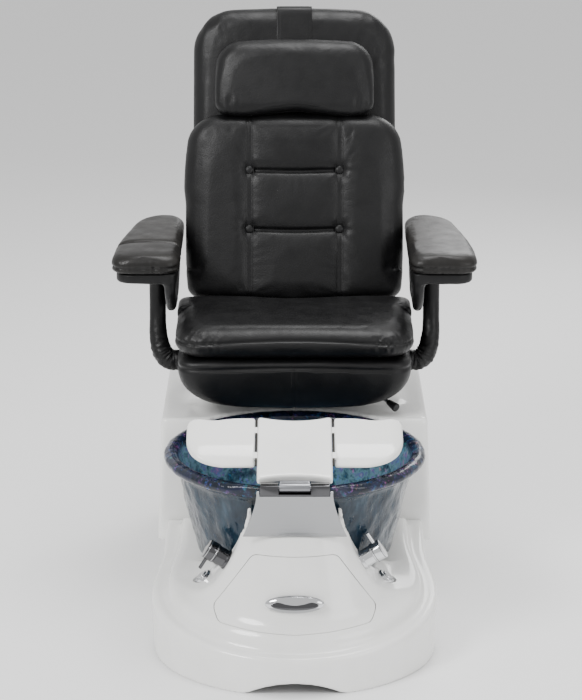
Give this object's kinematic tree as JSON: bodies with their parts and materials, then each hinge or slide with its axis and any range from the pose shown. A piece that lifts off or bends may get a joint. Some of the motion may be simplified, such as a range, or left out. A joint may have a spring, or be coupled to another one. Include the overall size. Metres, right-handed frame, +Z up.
{
  "type": "pedicure spa chair",
  "caption": "Pedicure spa chair with a reclining padded seat, tilting armrests, a round glass foot bowl and a folding footrest on a moulded base.",
  "frame": {"origin": "on the floor, under the middle of the chair's bounding box", "axes": "+Z up; -Y is the front, where the foot bowl is; +X is to the right when the chair is seen from the front"},
  "size_m": [0.8714, 1.31, 1.3724],
  "materials": {
    "leatherette": "soft satin, pebbled",
    "gelcoat": "glossy white gelcoat",
    "chrome": "polished",
    "steel": "zinc plated",
    "plastic": "matte black",
    "bowl_glass": "wavy cast, iridescent glaze"
  },
  "bodies": {
    "base": {"base_front": "gelcoat", "rear_cabinet": "gelcoat", "rear_panel": "gelcoat", "power_inlet": "plastic", "water_inlets": "steel", "bowl": "bowl_glass", "drain_flange": "chrome", "drain_elbow": "plastic", "jet_housing": "plastic", "jet_cap": "chrome", "jet_motor": "steel", "mixer_body": "chrome", "diverter_body": "chrome", "jet_switch_bezel": "chrome", "light_switch_bezel": "chrome", "mirror_plate": "chrome", "footrest_bracket": "chrome", "footrest_pin": "steel", "slide_rail_left": "steel", "slide_rail_right": "steel"},
    "door": {"access_door": "gelcoat", "door_pull": "chrome"},
    "drain_stopper": {"drain_plug": "chrome"},
    "impeller": {"jet_impeller": "plastic"},
    "mixer_handle": {"mixer_knob": "chrome"},
    "diverter_handle": {"diverter_knob": "chrome"},
    "jet_button": {"jet_switch_button": "chrome"},
    "light_button": {"light_switch_button": "chrome"},
    "footrest": {"footrest_arm": "steel", "centre_pad": "gelcoat", "wing_hinge_rod_left": "steel", "wing_hinge_rod_right": "steel"},
    "wing_left": {"wing_pad_left": "gelcoat"},
    "wing_right": {"wing_pad_right": "gelcoat"},
    "seat": {"seat_pan": "steel", "seat_shell": "leatherette", "seat_cushion": "leatherette", "recline_bracket": "steel", "arm_pivot_left": "steel", "arm_pivot_right": "steel"},
    "lever": {"slide_lever": "steel", "lever_knob": "plastic"},
    "back": {"recline_ears": "steel", "back_shell": "plastic", "back_pad": "leatherette", "back_cushion": "leatherette", "button_high_left": "leatherette", "button_high_right": "leatherette", "button_low_left": "leatherette", "button_low_right": "leatherette", "headrest_strap": "leatherette"},
    "pillow": {"headrest_pillow": "leatherette"},
    "counterweight": {"strap_weight": "leatherette"},
    "arm_left": {"arm_tube_left": "leatherette", "arm_body_left": "leatherette", "arm_pad_left": "leatherette"},
    "lid": {"arm_lid": "leatherette"},
    "arm_right": {"arm_tube_right": "leatherette", "arm_body_right": "leatherette", "arm_pad_right": "leatherette"}
  },
  "joints": [
    {"name": "access_door_hinge", "type": "hinge", "parent": "base", "child": "door", "pos_m": [0, -0.5385, 0.2877], "axis": [-1, 0, 0], "range_deg": [0, 75]},
    {"name": "drain_plug_lift", "type": "slide", "parent": "base", "child": "drain_stopper", "axis": [0, 0, 1], "range_m": [0, 0.01]},
    {"name": "jet_spin", "type": "hinge", "parent": "base", "child": "impeller", "pos_m": [0, 0.02, 0.315], "axis": [0, 1, 0], "continuous": true},
    {"name": "mixer_turn", "type": "hinge", "parent": "base", "child": "mixer_handle", "pos_m": [-0.153, -0.459, 0.251], "axis": [-0.848, 0, 0.5299], "range_deg": [-45, 45]},
    {"name": "diverter_turn", "type": "hinge", "parent": "base", "child": "diverter_handle", "pos_m": [0.153, -0.459, 0.251], "axis": [0.848, 0, 0.5299], "range_deg": [-10, 60]},
    {"name": "jet_switch_push", "type": "slide", "parent": "base", "child": "jet_button", "axis": [0.6293, 0, -0.7771], "range_m": [0, 0.003], "stiffness_N_per_m": 500},
    {"name": "light_switch_push", "type": "slide", "parent": "base", "child": "light_button", "axis": [-0.6293, 0, -0.7771], "range_m": [0, 0.003], "stiffness_N_per_m": 500},
    {"name": "footrest_lift", "type": "hinge", "parent": "base", "child": "footrest", "pos_m": [0, -0.567, 0.462], "axis": [1, 0, 0], "range_deg": [0, 50]},
    {"name": "wing_left_fold", "type": "hinge", "parent": "footrest", "child": "wing_left", "pos_m": [-0.08725, -0.4274, 0.51691], "axis": [0, 0.9342, 0.3567], "range_deg": [0, 95]},
    {"name": "wing_right_fold", "type": "hinge", "parent": "footrest", "child": "wing_right", "pos_m": [0.08725, -0.4274, 0.51691], "axis": [0, -0.9342, -0.3567], "range_deg": [0, 95]},
    {"name": "seat_slide", "type": "slide", "parent": "base", "child": "seat", "axis": [0, 1, 0], "range_m": [-0.05, 0.05]},
    {"name": "slide_lever_pull", "type": "hinge", "parent": "seat", "child": "lever", "pos_m": [0.182, 0.08, 0.4993], "axis": [0, 0, -1], "range_deg": [0, 15], "stiffness_Nm_per_rad": 3},
    {"name": "backrest_recline", "type": "hinge", "parent": "seat", "child": "back", "pos_m": [0, 0.345, 0.56], "axis": [-1, 0, 0], "range_deg": [0, 40]},
    {"name": "arm_left_tilt", "type": "hinge", "parent": "seat", "child": "arm_left", "pos_m": [-0.284, 0.15, 0.55], "axis": [-1, 0, 0], "range_deg": [0, 50]},
    {"name": "arm_right_tilt", "type": "hinge", "parent": "seat", "child": "arm_right", "pos_m": [0.284, 0.15, 0.55], "axis": [-1, 0, 0], "range_deg": [0, 50]},
    {"name": "arm_lid_open", "type": "hinge", "parent": "arm_left", "child": "lid", "pos_m": [-0.354, 0.15, 0.8515], "axis": [-1, 0, 0], "range_deg": [0, 100]},
    {"name": "pillow_slide", "type": "slide", "parent": "back", "child": "pillow", "axis": [0, 0.2588, 0.9659], "range_m": [0, 0.05]},
    {"name": "weight_slide", "type": "slide", "parent": "back", "child": "counterweight", "axis": [0, 0.2588, 0.9659], "range_m": [-0.05, 0]}
  ],
  "couplings": [
    {"joint": "weight_slide", "follows": "pillow_slide", "ratio": -1}
  ]
}
